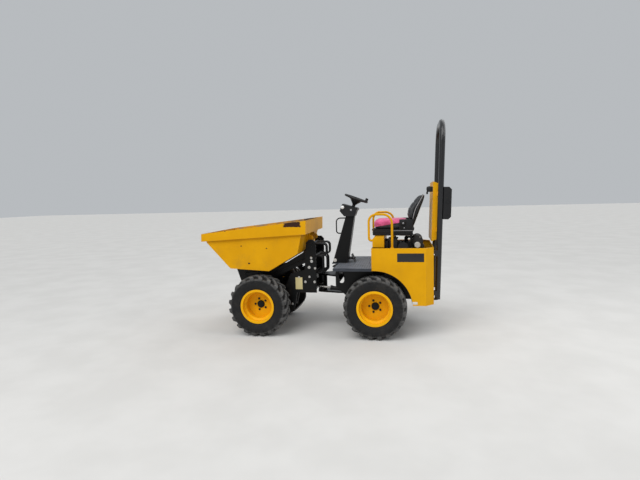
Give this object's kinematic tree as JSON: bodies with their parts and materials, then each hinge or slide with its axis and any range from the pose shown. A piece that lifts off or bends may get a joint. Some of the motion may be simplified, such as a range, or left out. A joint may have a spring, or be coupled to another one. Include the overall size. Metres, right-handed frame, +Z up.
{
  "type": "articulated high-tip site dumper",
  "caption": "Small articulated site dumper with a high-tip front skip, open driver's seat over the rear axle, a steering column and a tall roll bar",
  "frame": {"origin": "on the ground under the centre of the machine's bounding box", "axes": "+X forward, +Y to the driver's left, +Z up"},
  "size_m": [3.0791, 1.264, 2.6051],
  "materials": {
    "black_paint": "satin",
    "black_plastic": "matte",
    "black_vinyl": "matte",
    "chequer": "worn",
    "engine": "dirty",
    "hose": "matte",
    "ram_steel": "polished",
    "rim_paint": "worn",
    "seat_cover": "matte",
    "tyre": "matte",
    "yellow_paint": "worn"
  },
  "bodies": {
    "rear_frame": {"rear_chassis": "black_paint", "rear_fork": "black_paint", "tow_jaw": "black_paint", "rear_axle": "black_paint", "engine_block": "engine", "engine_top": "engine", "footplate": "chequer", "side_panel_left": "yellow_paint", "side_panel_right": "yellow_paint", "rear_panel": "yellow_paint", "front_panel": "yellow_paint", "arch_liners": "black_paint", "seat_box": "yellow_paint", "seat_mount": "black_paint", "seat_base": "black_plastic", "seat_cushion": "seat_cover", "seat_back": "black_vinyl", "hip_guards": "yellow_paint", "column": "black_paint", "grab_handle": "black_paint", "pedals": "black_paint", "dash": "black_plastic", "rops": "black_paint", "guard": "yellow_paint", "lamp_box": "black_plastic"},
    "steering_wheel": {"steering_wheel": "black_plastic"},
    "pivot_block": {"pivot_block": "black_paint"},
    "front_frame": {"front_chassis": "black_paint", "front_axle": "black_paint", "hoses": "hose"},
    "lift_arms": {"lift_arms": "black_paint"},
    "level_links": {"level_links": "black_paint"},
    "cradle": {"cradle": "black_paint"},
    "skip": {"skip": "yellow_paint"},
    "lift_barrel": {"lift_barrel": "black_paint"},
    "lift_rod": {"lift_rod": "ram_steel"},
    "tip_barrels": {"tip_barrels": "black_paint"},
    "tip_rods": {"tip_rods": "ram_steel"},
    "steer_barrel": {"steer_barrel": "black_paint"},
    "steer_rod": {"steer_rod": "ram_steel"},
    "wheel_front_left": {"tyre_front_left": "tyre", "rim_front_left": "rim_paint", "hub_front_left": "black_paint"},
    "wheel_front_right": {"tyre_front_right": "tyre", "rim_front_right": "rim_paint", "hub_front_right": "black_paint"},
    "wheel_rear_left": {"tyre_rear_left": "tyre", "rim_rear_left": "rim_paint", "hub_rear_left": "black_paint"},
    "wheel_rear_right": {"tyre_rear_right": "tyre", "rim_rear_right": "rim_paint", "hub_rear_right": "black_paint"}
  },
  "joints": [
    {"name": "steer", "type": "hinge", "parent": "rear_frame", "child": "pivot_block", "pos_m": [0.087, 0, 0.585], "axis": [0, 0, 1], "range_deg": [-33, 33]},
    {"name": "oscillate", "type": "hinge", "parent": "pivot_block", "child": "front_frame", "pos_m": [0.16, 0, 0.585], "axis": [1, 0, 0], "range_deg": [-10, 10]},
    {"name": "lift", "type": "hinge", "parent": "front_frame", "child": "lift_arms", "pos_m": [0.185, 0, 1.116], "axis": [0, -1, 0], "range_deg": [0, 50]},
    {"name": "level", "type": "hinge", "parent": "front_frame", "child": "level_links", "pos_m": [0.145, 0, 0.96], "axis": [0, -1, 0], "range_deg": [0, 50]},
    {"name": "cradle_level", "type": "hinge", "parent": "lift_arms", "child": "cradle", "pos_m": [1.085, 0, 0.7], "axis": [0, 1, 0], "range_deg": [0, 50]},
    {"name": "tip", "type": "hinge", "parent": "cradle", "child": "skip", "pos_m": [1.175, 0, 0.805], "axis": [0, 1, 0], "range_deg": [0, 85]},
    {"name": "lift_barrel_swing", "type": "hinge", "parent": "front_frame", "child": "lift_barrel", "pos_m": [0.48, 0, 0.29], "axis": [0, 1, 0], "range_deg": [0, 18.32]},
    {"name": "lift_rod_slide", "type": "slide", "parent": "lift_barrel", "child": "lift_rod", "axis": [-0.2, 0, 0.9798], "range_m": [0, 0.26635]},
    {"name": "tip_barrel_swing", "type": "hinge", "parent": "cradle", "child": "tip_barrels", "pos_m": [0.74, 0, 0.52], "axis": [0, -1, 0], "range_deg": [0, 3.06]},
    {"name": "tip_rod_slide", "type": "slide", "parent": "tip_barrels", "child": "tip_rods", "axis": [0.7372, 0, 0.6757], "range_m": [0, 0.18327]},
    {"name": "steer_barrel_swing", "type": "hinge", "parent": "rear_frame", "child": "steer_barrel", "pos_m": [-0.33, 0.17, 0.508], "axis": [0, 0, 1], "range_deg": [-0.67, 0.67]},
    {"name": "steer_rod_slide", "type": "slide", "parent": "steer_barrel", "child": "steer_rod", "axis": [0.9925, 0, 0.1223], "range_m": [-0.09384, 0.09384]},
    {"name": "steering_wheel_turn", "type": "hinge", "parent": "rear_frame", "child": "steering_wheel", "pos_m": [-0.38, 0, 1.686], "axis": [-0.3584, 0, 0.9336], "continuous": true},
    {"name": "roll_front_left", "type": "hinge", "parent": "front_frame", "child": "wheel_front_left", "pos_m": [0.812, 0.5, 0.38], "axis": [0, 1, 0], "continuous": true},
    {"name": "roll_front_right", "type": "hinge", "parent": "front_frame", "child": "wheel_front_right", "pos_m": [0.812, -0.5, 0.38], "axis": [0, 1, 0], "continuous": true},
    {"name": "roll_rear_left", "type": "hinge", "parent": "rear_frame", "child": "wheel_rear_left", "pos_m": [-0.638, 0.5, 0.38], "axis": [0, 1, 0], "continuous": true},
    {"name": "roll_rear_right", "type": "hinge", "parent": "rear_frame", "child": "wheel_rear_right", "pos_m": [-0.638, -0.5, 0.38], "axis": [0, 1, 0], "continuous": true}
  ],
  "couplings": [
    {"joint": "level", "follows": "lift", "ratio": 1},
    {"joint": "cradle_level", "follows": "lift", "ratio": 1},
    {"joint": "lift_barrel_swing", "follows": "lift", "ratio": 0.3625},
    {"joint": "lift_rod_slide", "follows": "lift", "m_per_rad": 0.30293},
    {"joint": "tip_barrel_swing", "follows": "tip", "ratio": 0.033618},
    {"joint": "tip_rod_slide", "follows": "tip", "m_per_rad": 0.12219},
    {"joint": "steer_barrel_swing", "follows": "steer", "ratio": -0.014255},
    {"joint": "steer_rod_slide", "follows": "steer", "m_per_rad": -0.15945}
  ]
}
